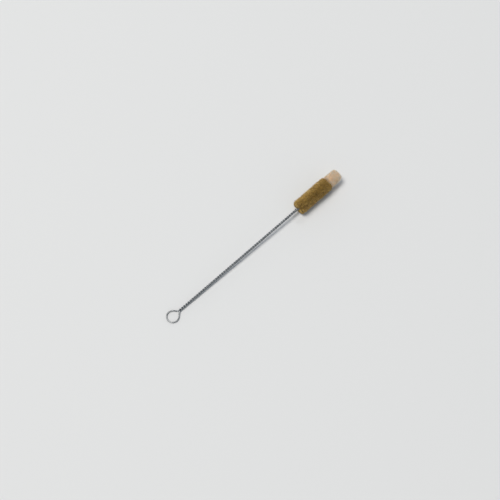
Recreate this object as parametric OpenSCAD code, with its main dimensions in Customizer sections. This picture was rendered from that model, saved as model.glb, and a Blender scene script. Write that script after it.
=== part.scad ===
// Test tube brush, lying on a table.
//
// One galvanised wire is folded in half. The fold is opened into the hanging ring,
// and the two legs are twisted round each other to make the stem. In the head the
// twisted legs clamp a layer of natural bristles, which stands out as a double helix
// and is trimmed to a cylinder. At the tip they clamp a tuft of wool, which covers
// their cut ends.
//
// Each piece is drawn along +X, from the far end of the ring at x = 0. at_rest() then
// lays the brush down, with the wire and the bristles on the plane z = 0.

/* [Overall] */
// Length from the far end of the ring to the end of the wool
overall_l = 250; // [200:1:320]

/* [Wire] */
// Diameter of the wire
wire_d = 1.5; // [1.2:0.05:1.8]
// Length of one whole turn of the twist
twist_pitch = 6; // [5:0.1:9]
// Hand of the twist
twist_hand = "left"; // [left, right]
// Gap between the two legs along the stem
stem_gap = 0.02; // [0.02:0.01:0.3]
// Depth of wool beyond the cut ends of the wire
end_cover = 6.5; // [5:0.5:9]

/* [Ring] */
// Radius of the ring, to the middle of the wire
ring_r = 6.6; // [5:0.1:10]
// Angle between the stem and each leg where the ring closes
neck_angle = 45; // [38:1:60]
// How far the ring hangs below the middle of the stem
ring_drop = 0.3; // [0:0.05:0.6]

/* [Bristles] */
// Length of the bristles along the stem
bristle_l = 45; // [30:0.5:80]
// Diameter that the bristles are trimmed to
head_d = 17; // [13:0.5:24]
// Thickness of the bristles where the two legs clamp them
layer_t = 0.3; // [0.2:0.05:0.6]
// Share of the trimmed rim that the tips of the bristles cover
rim_cover = 0.84; // [0.6:0.02:0.92]
// Length over which the bristles reach their full diameter, at each end
head_round = 2.5; // [1:0.5:5]
// Depth of the notches between neighbouring tufts of bristles
tuft_notch = 0.25; // [0.1:0.05:0.5]

/* [Wool] */
// Length of the wool tuft
wool_l = 16; // [12:0.5:20]
// Diameter of the wool tuft where it meets the bristles
wool_d = 16; // [12:0.5:22]
// How much thinner the tuft is at its far end
wool_taper = 2; // [0:0.25:4]
// Radius of the rounded edge at the far end
wool_round = 2.5; // [1:0.25:4]
// Radius of the rounded edge next to the bristles
wool_edge = 1; // [0.5:0.25:2]
// Gap between the bristles and the wool
wool_gap = 0.3; // [0.2:0.05:0.8]
// Clearance of the wool round the wire
wool_clearance = 0.25; // [0.1:0.05:0.5]

/* [Hidden] */

wire_r = wire_d / 2;
wire_sides = 7;           // flats round the wire
most_steps = 10;          // stations in one turn of the legs, on a short brush
most_stations = 400;      // stations along one leg, on a long brush
leg_steps = 5;            // stations along each straight leg of the ring
ring_steps = 27;          // stations round the ring
fill_steps = 18;          // stations in one turn of the bristles
wool_fn = 96;
edge_steps = 6;           // lengths in each rounded edge of the wool

// Angle between the tuft's side and the stem
wool_slope = atan(wool_taper / 2 / wool_l);

// Places along the brush
ring_x = wire_r + ring_r;
neck_x = ring_x + ring_r / sin(neck_angle);
wool_x = overall_l - wool_l;
head_end = wool_x - wool_gap;
head_x = head_end - bristle_l;

// The legs are cut at their last whole station before the wool's covered end
leg_turns = (overall_l - end_cover - neck_x) / twist_pitch;
twist_steps = min(most_steps, floor(most_stations / leg_turns));
leg_stations = floor(leg_turns * twist_steps);
wire_end = neck_x + leg_stations * twist_pitch / twist_steps;

// Distance of each leg from the middle of the stem, and of the head. The stations lie
// a little further out, so that the straight lengths between them keep the gap too.
outward = 1 / cos(180 / twist_steps);
stem_leg_r = (wire_d + stem_gap) / 2 * outward;
head_leg_r = (wire_d + layer_t) / 2 * outward;

// Between the two legs the head leaves a groove on each side, which the bristles stand
// in. This is the angle round the stem from the middle of a groove to its edge.
clamp_r = (wire_d + layer_t) / 2;
clamp_slope = atan(2 * PI * clamp_r / twist_pitch);
groove_half = 90 - wire_r / cos(clamp_slope) / clamp_r * 180 / PI;
groove_fill = 0.45;

// Thickness of the bristles in the middle of the stem, and half their width along it
// at the wire and at the rim
hub_t = 0.5 * layer_t;
hub_half = groove_fill * groove_half / 360 * twist_pitch;
rim_half = rim_cover * twist_pitch / 4;
hub_r = 0.7 * (head_leg_r + wire_r);

function unit(v) = v / norm(v);
function ease(u) = u <= 0 ? 0 : u >= 1 ? 1 : u * u * (3 - 2 * u);

// Angle of the twist at x: the first crossing of the legs has one straight above the other
function twist_at(x) = 90 + 360 * (x - neck_x) / twist_pitch;
function across(angle) = [0, cos(angle), sin(angle)];

// The legs part over the last turn before the bristles
function leg_r_at(x) =
    stem_leg_r + (head_leg_r - stem_leg_r) * ease((x - head_x) / twist_pitch + 1);

// Each station of the wire is its centre and the direction its first flat faces
function twist_station(i, side) =
    let (x = neck_x + i * twist_pitch / twist_steps)
    [[x, 0, 0] + side * leg_r_at(x) * across(twist_at(x)), across(twist_at(x))];

// Along a straight leg of the ring, u runs from the crossing to the ring's curve
function leg_station(u, side) =
    let (
        along = u * ring_r / tan(neck_angle),
        height = side * stem_leg_r * (1 - ease(u)) - ring_drop * ease(u)
    )
    [[neck_x - along * cos(neck_angle), side * along * sin(neck_angle), height], across(90)];

function ring_station(angle) =
    [[ring_x + ring_r * cos(angle), ring_r * sin(angle), -ring_drop], across(90)];

// The whole wire, from one cut end round the ring to the other
ring_start = 90 - neck_angle;
ring_turn = 180 + 2 * neck_angle;
wire_path = concat(
    [for (i = [leg_stations:-1:0]) twist_station(i, 1)],
    [for (k = [1:leg_steps - 1]) leg_station(k / leg_steps, 1)],
    [for (k = [0:ring_steps]) ring_station(ring_start + ring_turn * k / ring_steps)],
    [for (k = [leg_steps - 1:-1:1]) leg_station(k / leg_steps, -1)],
    [for (i = [0:leg_stations]) twist_station(i, -1)]
);

// Points round the wire at station i, square to its path
function wire_section(path, i) =
    let (
        centre = path[i][0],
        before = path[max(i - 1, 0)][0],
        after = path[min(i + 1, len(path) - 1)][0],
        ahead = unit(after - before),
        side = unit(cross(ahead, path[i][1])),
        up = cross(side, ahead)
    )
    [for (k = [0:wire_sides - 1])
        let (a = 180 + 360 * k / wire_sides)
        centre + wire_r * (cos(a) * up + sin(a) * side)];

// Radius that the bristles reach at x, less at both ends of the head and in the notches
function reach_at(x, notch) =
    let (
        from_end = min(x - head_x, head_end - x),
        short = 1 - min(1, from_end / head_round)
    )
    head_d / 2 - notch * tuft_notch - head_round * (1 - sqrt(1 - short * short));

// The bristles fan out from the wire to both sides, and their tips lie on an arc
// because every bristle is equally long. Each outline point is its distance from the
// middle of the stem, its place along the stem and its place across the clamped layer.
function fill_section(x, notch) =
    let (
        out = across(twist_at(x) + 90),
        layer = across(twist_at(x) + 180),
        reach = reach_at(x, notch),
        edge = sqrt(reach * reach - rim_half * rim_half),
        outline = [
            [edge, -rim_half, 0], [reach, 0, 0], [edge, rim_half, 0],
            [hub_r, hub_half, 0], [0, 0, -hub_t / 2], [-hub_r, -hub_half, 0],
            [-edge, -rim_half, 0], [-reach, 0, 0], [-edge, rim_half, 0],
            [-hub_r, hub_half, 0], [0, 0, hub_t / 2], [hub_r, -hub_half, 0]
        ]
    )
    [for (p = outline) [x + p[1], 0, 0] + p[0] * out + p[2] * layer];

fill_cap = [
    [0, 1, 2], [0, 2, 3], [0, 3, 11], [3, 4, 11], [4, 10, 11],
    [4, 5, 10], [5, 9, 10], [5, 6, 9], [6, 8, 9], [6, 7, 8]
];
fill_start = head_x + rim_half;
fill_length = bristle_l - 2 * rim_half;
fill_stations = round(fill_length * fill_steps / twist_pitch);
fill_sections = [
    for (i = [0:fill_stations])
        fill_section(fill_start + i * fill_length / fill_stations, i % 2)
];

// The brush lies on the bristles that reach lowest, and on one of two feet of the
// wire: the far end of the ring, or the lower leg where the legs first cross. A foot
// is its place along the brush and how far below the middle of the stem its wire is.
feet = [[wire_r, ring_drop], [neck_x, stem_leg_r]];

// Angle that the brush is turned down by when a point of the bristles and a foot both
// meet the table
function rest_angle(p, foot) =
    let (along = p[0] - foot[0], below = -p[2] - foot[1])
    atan2(below, along) - asin(wire_r / norm([along, below]));
tilt = min([
    for (foot = feet)
        max([for (section = fill_sections, p = section) rest_angle(p, foot)])
]);
lift = max([for (foot = feet) wire_r + foot[1] * cos(tilt) - foot[0] * sin(tilt)]);

// Lays a piece down on the table. The pieces are drawn with a right-hand twist, and a
// brush with a left-hand twist is their mirror image.
module at_rest() {
    translate([-overall_l * cos(tilt) / 2, 0, lift])
        rotate([0, -tilt, 0])
            mirror([0, twist_hand == "left" ? 1 : 0, 0])
                children();
}

// Skins a row of sections that all have the same number of points
module skin(sections, cap) {
    n = len(sections[0]);
    last = (len(sections) - 1) * n;
    sides = [
        for (i = [0:len(sections) - 2], k = [0:n - 1])
            let (a = i * n + k, b = i * n + (k + 1) % n)
            each [[a, b, b + n], [a, b + n, a + n]]
    ];
    start_cap = [for (t = cap) [t[2], t[1], t[0]]];
    end_cap = [for (t = cap) [last + t[0], last + t[1], last + t[2]]];
    polyhedron([for (section = sections, p = section) p], concat(start_cap, sides, end_cap));
}

module twisted_wire() {
    cap = [for (k = [1:wire_sides - 2]) [0, k, k + 1]];
    color("silver")
        at_rest()
            skin([for (i = [0:len(wire_path) - 1]) wire_section(wire_path, i)], cap);
}

module bristle_fill() {
    color("darkgoldenrod")
        at_rest()
            skin(fill_sections, fill_cap);
}

// A rounded edge between two angles, whose middle lies at a place along the tapered tuft
function rounded_edge(radius, place, from, to) =
    let (middle = wool_d / 2 - place * tan(wool_slope) - radius / cos(wool_slope))
    [for (k = [0:edge_steps])
        let (a = from + (to - from) * k / edge_steps)
        [middle + radius * cos(a), place + radius * sin(a)]];

// Outline of the wool from the bore out to its side and round to its far end
module wool_outline() {
    bore_r = head_leg_r + wire_r + wool_clearance;
    bore_l = wire_end + wire_r - wool_x + wool_clearance;
    polygon(concat(
        [[0, bore_l], [bore_r, bore_l], [bore_r, 0]],
        rounded_edge(wool_edge, wool_edge, -90, wool_slope),
        rounded_edge(wool_round, wool_l - wool_round, wool_slope, 90),
        [[0, wool_l]]
    ));
}

module wool_tip() {
    color("antiquewhite")
        at_rest()
            translate([wool_x, 0, 0])
                rotate([0, 90, 0])
                    rotate_extrude($fn = wool_fn)
                        wool_outline();
}

twisted_wire();
bristle_fill();
wool_tip();
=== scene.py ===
# %% [markdown]
# # A test tube brush
#
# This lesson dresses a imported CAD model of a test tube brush. The brush is one
# galvanised wire, folded in half and twisted, with natural bristles clamped in the
# twist and a tuft of wool at the tip. The CAD model fixes every size and place. Here
# the wire gets a smooth round skin, and the bristles and the wool become real fibres.

# %% Load the frame
import math
import random

import bmesh
import bpy
from mathutils import Matrix, Vector, noise


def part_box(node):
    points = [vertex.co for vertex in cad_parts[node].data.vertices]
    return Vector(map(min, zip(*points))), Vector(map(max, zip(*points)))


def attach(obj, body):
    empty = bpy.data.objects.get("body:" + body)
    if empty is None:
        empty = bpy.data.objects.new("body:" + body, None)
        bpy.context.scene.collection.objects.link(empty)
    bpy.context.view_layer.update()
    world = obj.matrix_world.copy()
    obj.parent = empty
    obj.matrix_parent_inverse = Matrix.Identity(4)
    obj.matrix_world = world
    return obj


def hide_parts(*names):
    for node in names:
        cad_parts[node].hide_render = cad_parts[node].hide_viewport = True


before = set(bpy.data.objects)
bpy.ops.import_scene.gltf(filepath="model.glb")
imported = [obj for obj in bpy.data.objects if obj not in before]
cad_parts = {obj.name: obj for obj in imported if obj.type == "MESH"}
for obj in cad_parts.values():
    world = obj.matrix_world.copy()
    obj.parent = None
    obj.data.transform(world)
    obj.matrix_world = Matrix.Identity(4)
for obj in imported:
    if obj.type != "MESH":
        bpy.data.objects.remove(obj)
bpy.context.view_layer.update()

# %% [markdown]
# ## Sizes
#
# Blender works in metres, and a brush is easier to think of in millimetres, so each of
# its sizes is a number of millimetres times MM. Only sizes that can't be read from the
# frame are written out: the wire's diameter and twist here, and the fibres' own later.

# %% Sizes of the wire
MM = 0.001
WIRE_D = 1.5 * MM
TWIST_PITCH = 6.0 * MM          # length of one full turn
TWIST_HAND = -1                 # -1 for a left-hand helix, 1 for a right-hand one
STEM_LEG_R = 0.8 * MM           # distance of each leg from the middle of the stem
HEAD_LEG_R = 0.95 * MM          # and inside the head, where the bristles part the legs
NECK_ANGLE = math.radians(45)   # between the stem and each straight shoulder of the ring
RING_DROP = 0.3 * MM            # how far the ring lies below the stem's axis

wire_r = WIRE_D / 2
print("wire", WIRE_D / MM, "mm, one turn every", TWIST_PITCH / MM, "mm")

# %% [markdown]
# ## The brush's own axis
#
# The brush lies on a table, so its stem is tilted: the fat head lifts one end. It's
# far easier to model along a straight X axis and tilt the result. The tilt is
# measured from the CAD wire. The two legs wind round the stem, so the mean of their
# vertices over a few whole turns is a point on the axis, and two such points give
# its direction.

# %% Measure the axis of the stem
def stem_centre(node, middle, turns):
    """Mean of the node's vertices over some whole turns of the twist."""
    half = turns * TWIST_PITCH / 2
    near = [v.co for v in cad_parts[node].data.vertices if abs(v.co.x - middle) < half]
    return sum(near, Vector()) / len(near)


wire_low, wire_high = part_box("twisted_wire")
wire_span = wire_high.x - wire_low.x
point_a = stem_centre("twisted_wire", wire_low.x + 0.2 * wire_span, turns=4)
point_b = stem_centre("twisted_wire", wire_low.x + 0.8 * wire_span, turns=4)
axis = (point_b - point_a).normalized()
tilt = math.asin(axis.z)
axis_start = point_a + axis * (wire_low.x - point_a.x) / axis.x
TO_WORLD = Matrix.Translation(axis_start) @ Matrix.Rotation(-tilt, 4, "Y")
print("tilt", round(math.degrees(tilt), 3), "degrees, axis starts at", axis_start)

# %% [markdown]
# With that axis, every CAD node can be measured in the brush's own frame, where X
# runs along the stem from the far end of the ring.

# %% Measure each node along the axis
def own_box(node):
    """Lowest and highest corner of a CAD node in the brush's own frame."""
    to_own = TO_WORLD.inverted()
    points = [to_own @ v.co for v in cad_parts[node].data.vertices]
    low = Vector([min(p[i] for p in points) for i in range(3)])
    high = Vector([max(p[i] for p in points) for i in range(3)])
    return low, high


wire_low, wire_high = own_box("twisted_wire")
head_low, head_high = own_box("bristle_fill")
wool_low, wool_high = own_box("wool_tip")
head_r = (head_high.y - head_low.y) / 2
wool_r = (wool_high.y - wool_low.y) / 2
ring_r = (wire_high.y - wire_low.y) / 2 - wire_r
ring_x = wire_r + ring_r
neck_x = ring_x + ring_r / math.sin(NECK_ANGLE)
print("head from", round(head_low.x / MM, 2), "to", round(head_high.x / MM, 2), "mm")
print("head radius", round(head_r / MM, 2), "wool radius", round(wool_r / MM, 2), "mm")
print("ring radius", round(ring_r / MM, 2), "neck at", round(neck_x / MM, 2), "mm")

# %% [markdown]
# ## Helpers for materials
#
# Colours are picked as sRGB hex values, the way a paint chart gives them, and
# Blender's shaders want linear light, so one function converts them. A second small
# function adds any node, sets its properties and links its inputs, so that each
# material below reads as a short recipe.

# %% Colour and node helpers
def linear(hex_colour):
    """An sRGB hex colour as linear RGBA."""
    channels = [int(hex_colour[i:i + 2], 16) / 255 for i in (1, 3, 5)]
    return [c / 12.92 if c <= 0.04045 else ((c + 0.055) / 1.055) ** 2.4 for c in channels] + [1]


def add_node(owner, kind, settings=None, inputs=None):
    """Adds a node, sets its properties, and fills or links its inputs by name or index."""
    tree = owner.node_tree
    node = tree.nodes.new(kind)
    for name, value in (settings or {}).items():
        setattr(node, name, value)
    for name, value in (inputs or {}).items():
        if isinstance(value, bpy.types.NodeSocket):
            tree.links.new(value, node.inputs[name])
        else:
            node.inputs[name].default_value = value
    return node


def new_material(name):
    """A node material with no nodes yet."""
    material = bpy.data.materials.new(name)
    material.use_nodes = True
    material.node_tree.nodes.clear()
    return material


def finish_material(material, shader):
    """Links a shader to the material's output."""
    output = add_node(material, "ShaderNodeOutputMaterial")
    material.node_tree.links.new(shader.outputs[0], output.inputs["Surface"])
    return material


print("helpers ready")

# %% [markdown]
# ## Helper for strands
#
# The wire, the bristles and the wool are all round strands that follow a path. A
# curve with a bevel is Blender's tool for that: each path is a spline, and a small
# ring swept along it gives it thickness. Thousands of splines fit in one curve. A thick
# wire takes a ring of many sides and a thin hair only three, to keep the mesh light. The
# ring's corners run clockwise, which makes the strands' faces look outwards.
#
# The curve is then made a mesh, with its place applied. Each vertex gets two numbers
# that the materials use: a shade that differs from strand to strand, and how far along
# its strand it lies. A strand that is cut off square gets one more ring, of radius 0,
# just past each end. Merging makes one point of it, which closes the strand.

# %% Strands
MERGE_SHARE = 0.02        # points closer than this share of a strand's radius become one
CAP_SHARE = 0.02          # how far past an end the closing ring lies, as a share of a step


def curve_object(name, paths, closed):
    """A curve object with one straight-lined spline for each (points, widths)."""
    curve = bpy.data.curves.new(name, "CURVE")
    curve.dimensions = "3D"
    for points, widths in paths:
        spline = curve.splines.new("POLY")
        spline.points.add(len(points) - 1)
        spline.use_cyclic_u = closed
        for point, place, width in zip(spline.points, points, widths):
            point.co = (*place, 1)
            point.radius = width
    holder = bpy.data.objects.new(name, curve)
    bpy.context.scene.collection.objects.link(holder)
    return holder


def strands_to_mesh(name, strands, radius, sides):
    """One mesh from strands of (points, widths, shade), in the brush's own frame."""
    corners = [-2 * math.pi * k / sides for k in range(sides)]
    ring = [(radius * math.cos(a), radius * math.sin(a), 0) for a in corners]
    profile = curve_object("profile", [(ring, [1] * sides)], True)
    path = curve_object("path", [(points, widths) for points, widths, _ in strands], False)
    path.data.bevel_mode = "OBJECT"
    path.data.bevel_object = profile
    swept = path.evaluated_get(bpy.context.evaluated_depsgraph_get())
    mesh = bpy.data.meshes.new_from_object(swept)
    for holder in (path, profile):
        bpy.data.curves.remove(holder.data)
    mesh.name = name
    mesh.transform(TO_WORLD)

    shades = []
    alongs = []
    for points, _, value in strands:
        for i in range(len(points)):
            shades += [value] * sides
            alongs += [i / (len(points) - 1)] * sides
    mesh.attributes.new("shade", "FLOAT", "POINT").data.foreach_set("value", shades)
    mesh.attributes.new("along", "FLOAT", "POINT").data.foreach_set("value", alongs)

    bm = bmesh.new()
    bm.from_mesh(mesh)
    bmesh.ops.remove_doubles(bm, verts=bm.verts, dist=radius * MERGE_SHARE)
    for face in bm.faces:
        face.smooth = True
    bm.to_mesh(mesh)
    bm.free()
    piece = bpy.data.objects.new(name, mesh)
    bpy.context.scene.collection.objects.link(piece)
    triangles = sum(len(p.vertices) - 2 for p in mesh.polygons)
    print(name, len(strands), "strands,", sides, "sides,", triangles, "triangles")
    return piece


def with_closed_ends(points, widths):
    """The strand with one more point of no width just past each end."""
    before = points[0] + (points[0] - points[1]) * CAP_SHARE
    after = points[-1] + (points[-1] - points[-2]) * CAP_SHARE
    return [before] + points + [after], [0] + widths + [0]


print("strand helpers ready")

# %% [markdown]
# ## The path of the wire
#
# The wire starts at a cut end inside the wool, winds back along the stem, opens out
# round the ring and winds forward again. Each leg is a helix, half a turn from the
# other. Where the legs cross for the first time one lies straight above the other,
# and both head off at an angle, so the ring's straight shoulders simply carry on in
# that direction until they meet the ring's curve.

# %% The wire's path
def ease(u):
    """Smooth step from 0 to 1."""
    u = min(max(u, 0), 1)
    return u * u * (3 - 2 * u)


def twist_at(x):
    """Angle of the first leg round the stem at x."""
    return math.pi / 2 + TWIST_HAND * 2 * math.pi * (x - neck_x) / TWIST_PITCH


def across(angle):
    """Direction square to the stem at an angle from Y towards Z."""
    return Vector((0, math.cos(angle), math.sin(angle)))


def leg_point(x, side):
    """A point of one leg of the twist: side is 1 or -1."""
    parted = ease((x - head_low.x) / TWIST_PITCH + 1)
    distance = STEM_LEG_R + (HEAD_LEG_R - STEM_LEG_R) * parted
    return Vector((x, 0, 0)) + side * distance * across(twist_at(x))


def shoulder_point(u, side):
    """A point of the straight wire between the crossing, u = 0, and the ring's curve."""
    along = u * ring_r / math.tan(NECK_ANGLE)
    aside = TWIST_HAND * side * along * math.sin(NECK_ANGLE)
    height = side * STEM_LEG_R * (1 - ease(u)) - RING_DROP * ease(u)
    return Vector((neck_x - along * math.cos(NECK_ANGLE), aside, height))


def ring_point(angle):
    """A point of the ring's curve."""
    aside = TWIST_HAND * ring_r * math.sin(angle)
    return Vector((ring_x + ring_r * math.cos(angle), aside, -RING_DROP))


TURN_STEPS = 20                 # steps in each turn of the twist
LEG_STEPS = round((wire_high.x - neck_x) / TWIST_PITCH * TURN_STEPS)
SHOULDER_STEPS = 12
RING_STEPS = 72
ring_start = math.pi / 2 - NECK_ANGLE
ring_turn = math.pi + 2 * NECK_ANGLE
leg_xs = [neck_x + (wire_high.x - wire_r - neck_x) * i / LEG_STEPS for i in range(LEG_STEPS + 1)]

wire_path = [leg_point(x, 1) for x in reversed(leg_xs)]
wire_path += [shoulder_point(k / SHOULDER_STEPS, 1) for k in range(1, SHOULDER_STEPS)]
wire_path += [ring_point(ring_start + ring_turn * k / RING_STEPS) for k in range(RING_STEPS + 1)]
wire_path += [shoulder_point(k / SHOULDER_STEPS, -1) for k in range(SHOULDER_STEPS - 1, 0, -1)]
wire_path += [leg_point(x, -1) for x in leg_xs]
wire_length = sum((b - a).length for a, b in zip(wire_path, wire_path[1:]))
print("wire path", len(wire_path), "points,", round(wire_length / MM), "mm long")

# %% The wire's skin
WIRE_SIDES = 14
wire_points, wire_widths = with_closed_ends(wire_path, [1] * len(wire_path))
wire = strands_to_mesh("galvanised_wire", [(wire_points, wire_widths, 0.5)], wire_r, WIRE_SIDES)

# %% [markdown]
# ## Galvanised steel wire
#
# The wire is drawn low-carbon steel, dipped in zinc. Zinc is a dull grey metal: its
# skin freezes in small patches that reflect a little differently, and drawing and
# twisting leave faint marks. So the base is a plain metal, noise at the size of the
# patches mixes a darker and a lighter grey and shifts the roughness, and a finer noise
# drives a very shallow bump. The real marks are finer still, too fine to show, so they
# are drawn coarser here.

# %% Galvanised wire material
ZINC_SIZE = 0.9 * MM      # distance between patches of the zinc
GRAIN_SIZE = 0.18 * MM    # and between the marks of drawing and twisting
GRAIN_DEPTH = 0.02 * MM


def galvanised_steel():
    """Zinc-dipped drawn wire: a grey metal whose highlights are soft and a little patchy."""
    material = new_material("galvanised_steel_wire_dull_zinc")
    place = add_node(material, "ShaderNodeTexCoord").outputs["Object"]
    patches = add_node(
        material, "ShaderNodeTexNoise",
        inputs={"Vector": place, "Scale": 1 / ZINC_SIZE, "Detail": 2.0},
    )
    grain = add_node(
        material, "ShaderNodeTexNoise",
        inputs={"Vector": place, "Scale": 1 / GRAIN_SIZE, "Detail": 1.0},
    )
    patch = add_node(
        material, "ShaderNodeMapRange",
        inputs={"Value": patches.outputs[0], "From Min": 0.3, "From Max": 0.7},
    )
    colour = add_node(
        material, "ShaderNodeMix", {"data_type": "RGBA"},
        {"Factor": patch.outputs[0], 6: linear("#7C7F82"), 7: linear("#A4A7AA")},
    )
    rough = add_node(
        material, "ShaderNodeMapRange",
        inputs={"Value": patch.outputs[0], "To Min": 0.24, "To Max": 0.4},
    )
    bump = add_node(
        material, "ShaderNodeBump",
        inputs={"Height": grain.outputs[0], "Strength": 0.25, "Distance": GRAIN_DEPTH},
    )
    shader = add_node(
        material, "ShaderNodeBsdfPrincipled",
        inputs={"Base Color": colour.outputs[2], "Metallic": 1.0,
                "Roughness": rough.outputs[0], "Normal": bump.outputs[0]},
    )
    return finish_material(material, shader)


wire.data.materials.append(galvanised_steel())
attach(wire, "root")
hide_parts("twisted_wire")
print("wire finished in", wire.data.materials[0].name)

# %% [markdown]
# ## Natural bristles
#
# Each bristle is one stiff hair, clamped at its middle between the two legs, so it
# shows as two halves on opposite sides of the stem. The twist turns the row of hairs
# into a double helix. The shears trim the head to a cylinder with slightly rounded
# ends, so the first helper gives the radius that they leave. Hairs that would reach
# below the table are bent along it, which the second helper does.

# %% The trimmed outline
HEAD_ROUND = 2.5 * MM          # length over which each end of the head is rounded


def trimmed_reach(x):
    """Radius that the shears leave at x."""
    from_end = min(x - head_low.x, head_high.x - x)
    short = 1 - min(1, max(0, from_end) / HEAD_ROUND)
    return head_r - HEAD_ROUND * (1 - math.sqrt(1 - short * short))


def above_table(point, radius):
    """The point, lifted so that a strand of that radius stays above the table."""
    place = TO_WORLD @ point
    place.z = max(place.z, radius)
    return TO_WORLD.inverted() @ place


print("reach at the end and in the middle of the head, mm:",
      round(trimmed_reach(head_low.x) / MM, 1),
      round(trimmed_reach((head_low.x + head_high.x) / 2) / MM, 1))

# %% [markdown]
# No two hairs lie quite alike. Each leans its own way, more towards its tip, and bows
# a little. Neighbours also lean together, because hairs cling into tufts, and a smooth
# 3D noise gives them that: two tips that are close read nearly the same value from it.
# Its second octave makes smaller tufts in the large ones. Some tufts end up shorter
# than others, and a few single hairs missed the shears and stand out. Blender's noise
# vectors start from the clock unless they get a seed, so they get one: the brush then
# comes out the same each time.

# %% Half a bristle
NOISE_SEED = 5
BRISTLE_D = 0.18 * MM
HALF_STEPS = 3                 # lengths in each half of a bristle
LEAN = 1.5 * MM                # how far one tip strays by itself
TUFT_LEAN = 1.8 * MM           # how far a tuft's tips stray together
TUFT_SIZE = 4.2 * MM           # distance between tufts
TUFT_REACH = 0.9 * MM          # how much shorter some tufts end up
BOW = 0.5 * MM                 # how far the middle of a half bows out
TRIM = 0.8 * MM                # unevenness of the trimmed tips
STRAYS = 0.16                  # share of the hairs that the shears missed
STRAY_REACH = 1.3 * MM         # and how far they may stand out
TIP_MARGIN = 0.2 * MM          # tips stay this far inside the ends of the head

noise.seed_set(NOISE_SEED)


def half_bristle(rng, x, offset, side):
    """Points from the stem to one tip, and nothing below the table."""
    out = side * across(twist_at(x) + math.pi / 2)
    layer = across(twist_at(x))
    ahead = Vector((1, 0, 0))
    root = Vector((x, 0, 0)) + layer * offset
    place = (root + out * head_r) / TUFT_SIZE
    tuft = noise.turbulence_vector(place, 2, False, amplitude_scale=0.8) * TUFT_LEAN
    lean = ahead * (rng.gauss(0, LEAN) + tuft.x) + layer * (rng.gauss(0, LEAN) + tuft.y)
    bow = ahead * rng.gauss(0, BOW) + layer * rng.gauss(0, BOW)
    tip = root + out * head_r + lean
    tip.x = min(max(tip.x, head_low.x + TIP_MARGIN), head_high.x - TIP_MARGIN)
    reach = trimmed_reach(tip.x) - abs(rng.gauss(0, TRIM))
    reach += min(0, tuft.z) / TUFT_LEAN * TUFT_REACH
    if rng.random() < STRAYS:
        reach += rng.random() * STRAY_REACH
    shorten = reach / math.hypot(tip.y, tip.z)
    tip.y *= shorten
    tip.z *= shorten
    lean = tip - root - out * reach
    points = []
    for k in range(1, HALF_STEPS + 1):
        u = k / HALF_STEPS
        place = root + out * reach * u + lean * u * u + bow * math.sin(math.pi * u)
        points.append(above_table(place, BRISTLE_D / 2))
    return points


print("one half:", [tuple(round(c / MM, 1) for c in p)
                    for p in half_bristle(random.Random(1), head_low.x + 9 * MM, 0, 1)])

# %% [markdown]
# A bristle is thickest in the middle and tapers to both tips. Its colour depends on
# the animal, and hairs of one bundle stay together, so another noise shifts the shade
# in patches. The set is split into three pieces, because a piece of the part may have
# at most 200,000 triangles.

# %% All bristles
BRISTLE_PIECES = 3
BRISTLE_COUNT = 4600           # whole bristles in each piece
BRISTLE_SIDES = 3
BRISTLE_SEED = 10
ROOT_MARGIN = 0.5 * MM         # roots stay this far inside the ends of the head
LAYER_HALF = 0.12 * MM         # half the thickness of the clamped layer
THICKNESS_SPREAD = 0.2         # hairs are thicker or thinner by up to this share
TIP_TAPER = 0.3                # share of its thickness that a hair loses towards a tip
PATCH_SIZE = 2.0 * MM          # distance between darker and lighter patches
PATCH_CONTRAST = 0.8           # how far a patch shifts the shade
PATCH_FALLOFF = 0.2            # low, so small patches show nearly as well as large ones
HAIR_CONTRAST = 0.15           # how far single hairs differ in shade


def layered_noise(place, falloff):
    """Smooth noise in three octaves, each half as coarse as the last."""
    return noise.fractal(place, falloff, 2.0, 3)


def bristles(seed):
    """Whole bristles from tip to tip, spread evenly along the head."""
    rng = random.Random(seed)
    strands = []
    for i in range(BRISTLE_COUNT):
        along_head = (i + rng.random()) / BRISTLE_COUNT
        x = head_low.x + (head_high.x - head_low.x) * along_head
        x = min(max(x, head_low.x + ROOT_MARGIN), head_high.x - ROOT_MARGIN)
        offset = rng.uniform(-LAYER_HALF, LAYER_HALF)
        root = Vector((x, 0, 0)) + offset * across(twist_at(x))
        one = half_bristle(rng, x, offset, 1)
        other = half_bristle(rng, x, offset, -1)
        points = other[::-1] + [root] + one
        width = rng.uniform(1 - THICKNESS_SPREAD, 1 + THICKNESS_SPREAD)
        steps = range(-HALF_STEPS, HALF_STEPS + 1)
        widths = [width * (1 - TIP_TAPER * abs(k) / HALF_STEPS) for k in steps]
        patch = layered_noise(one[-1] / PATCH_SIZE, PATCH_FALLOFF)
        shade = 0.5 + PATCH_CONTRAST * patch + rng.gauss(0, HAIR_CONTRAST)
        points, widths = with_closed_ends(points, widths)
        strands.append((points, widths, min(max(shade, 0), 1)))
    return strands


bristle_pieces = []
for number in range(1, BRISTLE_PIECES + 1):
    strands = bristles(BRISTLE_SEED + number)
    piece = strands_to_mesh(f"bristles_{number}", strands, BRISTLE_D / 2, BRISTLE_SIDES)
    bristle_pieces.append(piece)

# %% [markdown]
# ## Bristle material
#
# Hog bristle is a keratin hair, olive brown to gold, with a waxy gloss. Each hair's
# shade picks its colour from a ramp of four browns, and it's paler towards its tips,
# which are thinner and split. Keratin's IOR is about 1.55.

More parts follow.
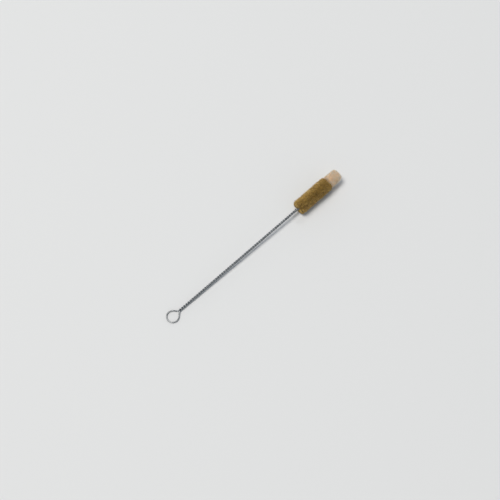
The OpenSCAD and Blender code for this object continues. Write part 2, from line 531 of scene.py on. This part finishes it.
# %% Bristle material
def hog_bristle():
    """Trimmed hog bristle: golden brown, with a waxy glint along each hair."""
    material = new_material("hog_bristle_trimmed")
    shade = add_node(material, "ShaderNodeAttribute", {"attribute_name": "shade"})
    along = add_node(material, "ShaderNodeAttribute", {"attribute_name": "along"})
    hair = add_node(material, "ShaderNodeValToRGB", inputs={"Fac": shade.outputs["Fac"]})
    hair.color_ramp.elements[0].color = linear("#74502A")
    hair.color_ramp.elements[1].color = linear("#ECD088")
    hair.color_ramp.elements.new(0.35).color = linear("#A6843E")
    hair.color_ramp.elements.new(0.7).color = linear("#CCAA58")
    from_middle = add_node(
        material, "ShaderNodeMath", {"operation": "SUBTRACT"},
        {0: along.outputs["Fac"], 1: 0.5},
    )
    to_tip = add_node(
        material, "ShaderNodeMath", {"operation": "ABSOLUTE"},
        {0: from_middle.outputs[0]},
    )
    tip = add_node(
        material, "ShaderNodeMapRange",
        inputs={"Value": to_tip.outputs[0], "From Min": 0.4, "From Max": 0.5,
                "To Max": 0.6},
    )
    colour = add_node(
        material, "ShaderNodeMix", {"data_type": "RGBA"},
        {"Factor": tip.outputs[0], 6: hair.outputs["Color"], 7: linear("#E2CF8C")},
    )
    shader = add_node(
        material, "ShaderNodeBsdfPrincipled",
        inputs={"Base Color": colour.outputs[2], "Roughness": 0.42, "IOR": 1.55},
    )
    return finish_material(material, shader)


bristle_finish = hog_bristle()
for piece in bristle_pieces:
    piece.data.materials.append(bristle_finish)
    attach(piece, "root")
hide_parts("bristle_fill")
print("bristles finished in", bristle_finish.name)

# %% [markdown]
# ## The wool tuft
#
# The tuft at the tip is a pinch of wool, laid between the legs like the bristles and
# twisted in. It fans out sideways and forwards, and it's cut off blunt. Three layers
# make it: a matted body that hides the wire, curly locks that lie over it, and fine
# flyaway fibres that stand out round its edge. All follow the same blunt knob, a
# tapered superellipsoid: its exponent sets how square its shoulders are.

# %% Shape of the tuft
END_SQUARENESS = 6.0
SHOULDER_SQUARENESS = 10.0     # the tuft is squarer where it meets the bristles
TAPER = 1.0 * MM               # how much its radius shrinks towards the cut end
wool_middle = (wool_low.x + wool_high.x) / 2
wool_half = (wool_high.x - wool_low.x) / 2


def knob(direction, fill):
    """The point of the tuft in a direction from its middle, at a share of its size."""
    lengthwise = abs(direction.x) / wool_half
    sideways = math.hypot(direction.y, direction.z) / wool_r
    square = END_SQUARENESS if direction.x > 0 else SHOULDER_SQUARENESS
    place = direction * fill * (lengthwise ** square + sideways ** square) ** (-1 / square)
    narrow = 1 - TAPER / wool_r * (place.x + wool_half) / (2 * wool_half)
    return Vector((wool_middle + place.x, place.y * narrow, place.z * narrow))


print("tuft", round(2 * wool_half / MM, 1), "mm long,", round(2 * wool_r / MM, 1), "mm thick")

# %% The matted body
BODY_FILL = 0.86               # the body's share of the tuft
LUMP = 0.7 * MM                # height of its lumps
LUMP_SIZE = 2.2 * MM           # distance between them
LUMP_FALLOFF = 0.8             # high, so small lumps are low


def wool_body():
    """A fine ball, drawn out to the knob's shape and made lumpy."""
    bm = bmesh.new()
    bmesh.ops.create_icosphere(bm, subdivisions=6, radius=1)
    for v in bm.verts:
        direction = v.co.normalized()
        place = knob(direction, BODY_FILL)
        lumps = layered_noise(place / LUMP_SIZE, LUMP_FALLOFF)
        v.co = place + direction * lumps * LUMP
    for f in bm.faces:
        f.smooth = True
    mesh = bpy.data.meshes.new("wool_body")
    bm.to_mesh(mesh)
    bm.free()
    mesh.transform(TO_WORLD)
    piece = bpy.data.objects.new("wool_body", mesh)
    bpy.context.scene.collection.objects.link(piece)
    print("wool_body", len(mesh.polygons), "triangles")
    return piece


wool_core = wool_body()

# %% [markdown]
# A wool fibre is only 0.03 mm thick, too fine to show, so each strand here stands for
# a few fibres. It starts inside the body, rises to the tuft's outline and lies over
# along it. Wool is crimped, and fibres that lie close curl together into locks. A 3D
# noise that moves every point of a strand gives both: two strands that are close read
# nearly the same values from it. The directions come from a normal distribution in
# each axis, which covers the tuft evenly. On the corner between the side and the cut
# end the strands reach further and make a small wisp.

# %% Curly strands
CURL = 0.9 * MM                # how far the crimp moves a strand
CURL_SIZE = 1.5 * MM           # distance over which it swings
OWN_CURL = 0.25                # how far a strand's crimp is out of step with the others
ROOT_DEPTH = 0.1               # how deep in the body a strand starts, as a share
FORWARD = 0.15                 # how much more the strands point to the cut end
WISP_REACH = 0.13              # how much further the wisp reaches, as a share
WISP_SPREAD = 0.05             # how wide it is
wisp_way = Vector((wool_half, wool_r * 0.8, 0)).normalized()


def any_direction(rng, forward):
    """A random direction, which leans towards the cut end by forward."""
    return Vector((rng.gauss(forward, 1), rng.gauss(0, 1), rng.gauss(0, 1))).normalized()


def curly_strand(rng, steps, lay, reach):
    """One crimped strand, which lies over by lay and ends at a share of the tuft's size."""
    out = any_direction(rng, FORWARD)
    over = (out + lay * out.cross(any_direction(rng, 0)).normalized()).normalized()
    start = BODY_FILL - ROOT_DEPTH
    in_wisp = max(0, (out.dot(wisp_way) - (1 - WISP_SPREAD)) / WISP_SPREAD)
    rise = reach + WISP_REACH * in_wisp - start
    own = Vector([rng.gauss(0, OWN_CURL) for _ in range(3)])
    points = []
    for k in range(steps + 1):
        u = k / steps
        place = knob(out.lerp(over, u), start + rise * (1 - (1 - u) ** 2))
        curl = noise.turbulence_vector(place / CURL_SIZE + own, 2, False)
        points.append(place + curl * CURL * u)
    widths = [0.0] + [1.0] * (steps - 1) + [0.0]
    return points, widths, rng.random()


print("one strand:", [tuple(round(c / MM, 1) for c in p)
                      for p in curly_strand(random.Random(2), 4, 0.8, 0.9)[0]])

# %% [markdown]
# Thick strands that lie well over cover the body like matted locks. Fine ones stand up more.
# From any side they hardly cover the tuft's face, but round its edge they add up to a soft pale
# rim. Their white colour partly paints the light that fine fibres catch there.

# %% Locks and flyaways
LOCK_D = 0.13 * MM
LOCK_COUNT = 3600
FLYAWAY_D = 0.06 * MM
FLYAWAY_COUNT = 4000
WOOL_SIDES = 3
WOOL_SEED = 23

rng = random.Random(WOOL_SEED)
locks = [
    curly_strand(rng, steps=9, lay=rng.uniform(0.5, 1.0), reach=rng.gauss(0.93, 0.03))
    for _ in range(LOCK_COUNT)
]
wool_locks = strands_to_mesh("wool_locks", locks, LOCK_D / 2, WOOL_SIDES)
flyaways = [
    curly_strand(rng, steps=6, lay=rng.uniform(0.0, 0.4), reach=rng.gauss(1.0, 0.04))
    for _ in range(FLYAWAY_COUNT)
]
wool_flyaways = strands_to_mesh("wool_flyaways", flyaways, FLYAWAY_D / 2, WOOL_SIDES)

# %% [markdown]
# ## Wool materials
#
# Scoured wool is a warm cream where it's dense and paler at its loose ends, and the strands'
# ends are painted paler still, as a painted pale rim of light round the tuft. It has no hard
# gloss. The matted body varies with noise at the size of its tangles, and a little sheen gives
# it the soft look of fine fibres seen edge on.

# %% Matted wool
TANGLE_SIZE = 0.6 * MM


def matted_wool():
    """Scoured wool, matted: a warm cream that varies softly and has no highlight."""
    material = new_material("scoured_wool_matted")
    place = add_node(material, "ShaderNodeTexCoord").outputs["Object"]
    tangle = add_node(
        material, "ShaderNodeTexNoise",
        inputs={"Vector": place, "Scale": 1 / TANGLE_SIZE, "Detail": 3.0},
    )
    pale = add_node(
        material, "ShaderNodeMapRange",
        inputs={"Value": tangle.outputs[0], "From Min": 0.25, "From Max": 0.75},
    )
    colour = add_node(
        material, "ShaderNodeMix", {"data_type": "RGBA"},
        {"Factor": pale.outputs[0], 6: linear("#F0C28E"), 7: linear("#FDDBAA")},
    )
    shader = add_node(
        material, "ShaderNodeBsdfPrincipled",
        inputs={"Base Color": colour.outputs[2], "Roughness": 0.9, "Sheen Weight": 0.3,
                "Sheen Roughness": 0.5},
    )
    return finish_material(material, shader)


wool_core.data.materials.append(matted_wool())
print("body finished in", wool_core.data.materials[0].name)

# %% [markdown]
# Each strand takes its own shade and grows paler towards its end. That is partly wool's own
# paler tips and partly a painted highlight: the tips, seen edge on round the tuft, paint the
# pale rim that light gives fine fibres. Light passes through single fibres, so the strands
# scatter some of it inside: that fills the small shadows between them and makes the tuft look
# soft.

# %% Wool strands
GLOW_DEPTH = 0.2 * MM     # how far light travels inside the wool


def strand_wool(name, dark, light):
    """Loose scoured wool: strands of many shades, with paler ends that are partly a painted rim
    of light, and a soft glow.
    """
    material = new_material(name)
    shade = add_node(material, "ShaderNodeAttribute", {"attribute_name": "shade"})
    along = add_node(material, "ShaderNodeAttribute", {"attribute_name": "along"})
    strand = add_node(
        material, "ShaderNodeMix", {"data_type": "RGBA"},
        {"Factor": shade.outputs["Fac"], 6: linear(dark), 7: linear(light)},
    )
    # Paler ends, partly wool's own tone and partly a painted highlight: seen edge on, they paint
    # the tuft's pale rim of light.
    tip = add_node(
        material, "ShaderNodeMapRange",
        inputs={"Value": along.outputs["Fac"], "From Min": 0.6, "To Max": 0.3},
    )
    colour = add_node(
        material, "ShaderNodeMix", {"data_type": "RGBA"},
        {"Factor": tip.outputs[0], 6: strand.outputs[2], 7: linear("#FFFFFF")},
    )
    shader = add_node(
        material, "ShaderNodeBsdfPrincipled",
        inputs={"Base Color": colour.outputs[2], "Roughness": 0.9, "Subsurface Weight": 0.8,
                "Subsurface Radius": (1, 1, 1), "Subsurface Scale": GLOW_DEPTH},
    )
    return finish_material(material, shader)


wool_locks.data.materials.append(strand_wool("scoured_wool_locks", "#FFC684", "#FFE6BA"))
# The flyaways are white: partly wool's own pale fibres, partly a painted rim of light round the
# tuft's edge.
wool_flyaways.data.materials.append(strand_wool("scoured_wool_flyaways", "#FFF8EE", "#FFFFFF"))
for piece in (wool_core, wool_locks, wool_flyaways):
    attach(piece, "root")
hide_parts("wool_tip")
print("strands finished in", wool_locks.data.materials[0].name)

# %% [markdown]
# ## Table, light and camera
#
# The brush lies on a plain pale table, which takes its shadow and hides nothing.

# %% Table
TABLE_HALF = 3.0          # half its width, in metres


def pale_table():
    """Matt paper: plain, pale and without a highlight."""
    material = new_material("pale_matt_paper")
    shader = add_node(
        material, "ShaderNodeBsdfPrincipled",
        inputs={"Base Color": linear("#E0E2E4"), "Roughness": 0.9},
    )
    return finish_material(material, shader)


bm = bmesh.new()
bmesh.ops.create_grid(bm, x_segments=1, y_segments=1, size=TABLE_HALF)
table_mesh = bpy.data.meshes.new("table")
bm.to_mesh(table_mesh)
bm.free()
table = bpy.data.objects.new("table", table_mesh)
bpy.context.scene.collection.objects.link(table)
table.data.materials.append(pale_table())
print("table", 2 * TABLE_HALF, "m wide, in", table.data.materials[0].name)

# %% [markdown]
# Bare metal has no colour of its own to show: it shows the room. This room has pale
# walls and a grey ceiling, so each round wire gets pale edges and a darker middle, and
# that draws its form and its twist. Heights in the room run from 0 at eye level to 1
# straight overhead.

# %% World
WALL_TOP = 0.2            # the pale wall ends here
CEILING_EDGE = 0.6        # and the grey ceiling is at its full tone from here
world = bpy.data.worlds.new("studio")
bpy.context.scene.world = world
world.use_nodes = True
world.node_tree.nodes.clear()
sky_place = add_node(world, "ShaderNodeTexCoord").outputs["Generated"]
sky_axes = add_node(world, "ShaderNodeSeparateXYZ", inputs={"Vector": sky_place})
sky_height = add_node(
    world, "ShaderNodeMapRange",
    inputs={"Value": sky_axes.outputs["Z"], "From Min": WALL_TOP, "From Max": CEILING_EDGE},
)
sky_colour = add_node(
    world, "ShaderNodeMix", {"data_type": "RGBA"},
    {"Factor": sky_height.outputs[0], 6: linear("#DCDFE2"), 7: linear("#7F848A")},
)
sky = add_node(world, "ShaderNodeBackground", inputs={"Color": sky_colour.outputs[2]})
add_node(world, "ShaderNodeOutputWorld", inputs={"Surface": sky.outputs[0]})
print("world has", len(world.node_tree.nodes), "nodes")

# %% [markdown]
# One large soft lamp, high up and almost overhead, gives most of the light. It keeps
# the shadow short, and from that height it lights the whole table evenly. A small weak
# one on the far side only draws a bright line along the wire.

# %% Lights
def soft_light(name, place, size, power, colour):
    """A square area light, in metres and watts, that faces the middle of the table."""
    light = bpy.data.lights.new(name, "AREA")
    light.size = size
    light.energy = power
    light.color = linear(colour)[:3]
    lamp = bpy.data.objects.new(name, light)
    lamp.location = place
    lamp.rotation_euler = (-Vector(place)).to_track_quat("-Z", "Y").to_euler()
    bpy.context.scene.collection.objects.link(lamp)
    return lamp


key = soft_light("key", place=(-1.2, 1.2, 5.85), size=2.7, power=261.0, colour="#FFFAF2")
rim = soft_light("rim", place=(3.18, 2.31, 4.53), size=0.9, power=29.0, colour="#FFFFFF")
print(key.name, "light at", key.location, "and", rim.name, "light at", rim.location)

# %% [markdown]
# The camera looks down at the table from well above, with the brush running from the
# lower left to the upper right.

# %% Camera
AZIMUTH = math.radians(-42.26)
ELEVATION = math.radians(68)
LENS = 85                 # focal length in millimetres
DISTANCE = 1.2824         # metres from the camera to the point that it looks at
camera_data = bpy.data.cameras.new("camera")
camera_data.lens = LENS
camera_data.clip_start = 0.01
camera_data.clip_end = 20
camera = bpy.data.objects.new("camera", camera_data)
bpy.context.scene.collection.objects.link(camera)
bpy.context.scene.camera = camera
back = Vector((
    math.sin(AZIMUTH) * math.cos(ELEVATION),
    -math.cos(AZIMUTH) * math.cos(ELEVATION),
    math.sin(ELEVATION),
))
aim = Vector((-5.5 * MM, 1.6 * MM, 0))
camera.location = aim + back * DISTANCE
camera.rotation_euler = (-back).to_track_quat("-Z", "Y").to_euler()
bpy.context.scene.view_settings.view_transform = "Standard"
print("camera at", tuple(round(c, 3) for c in camera.location), "m")
